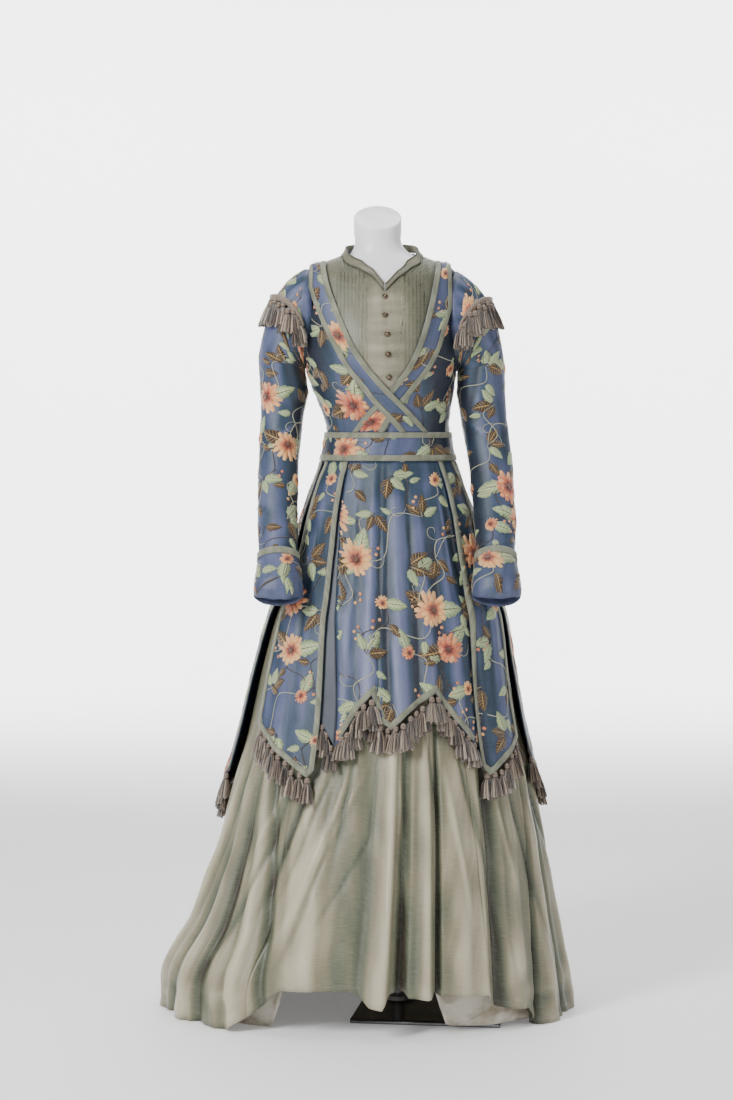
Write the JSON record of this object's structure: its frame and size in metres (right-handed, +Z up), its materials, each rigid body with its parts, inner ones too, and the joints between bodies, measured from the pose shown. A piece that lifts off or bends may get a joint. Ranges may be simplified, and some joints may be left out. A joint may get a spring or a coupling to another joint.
{
  "type": "historic dress on a dress form",
  "caption": "Floor-length historic dress with a tasselled blue overdress and a trained grey-green underskirt, worn by a limbless white dress form on a flat stand.",
  "frame": {"origin": "on the floor below the middle of the belt, on the underside of the stand's base plate", "axes": "+Z up along the figure, -Y towards the viewer at the dress's front, +X to the viewer's right"},
  "size_m": [0.7922, 0.8927, 1.54],
  "materials": {
    "blue_silk": "changeable embroidered silk",
    "sage_ribbon": "ribbed silk ribbon",
    "tassel_wool": "twisted thread",
    "taffeta": "changeable grey-green taffeta",
    "yoke_taffeta": "grey-green taffeta",
    "cotton": "worn off-white cotton",
    "dark_metal": "dark aged metal",
    "white_form": "smooth satin white",
    "black_plate": "black gloss"
  },
  "bodies": {
    "root": {"form_torso": "white_form", "stand_rod": "white_form", "base_plate": "black_plate", "petticoat": "cotton", "underskirt_front": "taffeta", "underskirt_side_right": "taffeta", "underskirt_back_right": "taffeta", "underskirt_back_left": "taffeta", "underskirt_side_left": "taffeta", "overskirt_front": "blue_silk", "overskirt_front_binding": "sage_ribbon", "overskirt_front_fringe": "tassel_wool", "overskirt_pleat_left": "blue_silk", "overskirt_pleat_left_fringe": "tassel_wool", "overskirt_side_left": "blue_silk", "overskirt_side_left_binding": "sage_ribbon", "overskirt_side_left_fringe": "tassel_wool", "overskirt_side_right": "blue_silk", "overskirt_side_right_binding": "sage_ribbon", "overskirt_side_right_fringe": "tassel_wool", "overskirt_back_right": "blue_silk", "overskirt_back_right_binding": "sage_ribbon", "overskirt_back_right_fringe": "tassel_wool", "overskirt_back_center": "blue_silk", "overskirt_back_center_binding": "sage_ribbon", "overskirt_back_center_fringe": "tassel_wool", "overskirt_back_left": "blue_silk", "overskirt_back_left_binding": "sage_ribbon", "overskirt_back_left_fringe": "tassel_wool", "bodice_side_front_left": "blue_silk", "bodice_side_front_right": "blue_silk", "bodice_back": "blue_silk", "yoke": "yoke_taffeta", "collar": "yoke_taffeta", "belt": "blue_silk", "belt_trim_low": "sage_ribbon", "belt_trim_top": "sage_ribbon", "wrap_left": "blue_silk", "wrap_left_trim_outer": "sage_ribbon", "wrap_left_trim_inner": "sage_ribbon", "sleeve_left": "blue_silk", "cuff_left": "blue_silk", "cuff_trim_left": "sage_ribbon", "wrist_button_left": "dark_metal", "epaulette_left": "tassel_wool", "wrap_right": "blue_silk", "wrap_right_trim_outer": "sage_ribbon", "wrap_right_trim_inner": "sage_ribbon", "sleeve_right": "blue_silk", "cuff_right": "blue_silk", "cuff_trim_right": "sage_ribbon", "wrist_button_right": "dark_metal", "epaulette_right": "tassel_wool", "front_button_1": "dark_metal", "front_button_2": "dark_metal", "front_button_3": "dark_metal", "front_button_4": "dark_metal", "front_button_5": "dark_metal"}
  },
  "joints": []
}
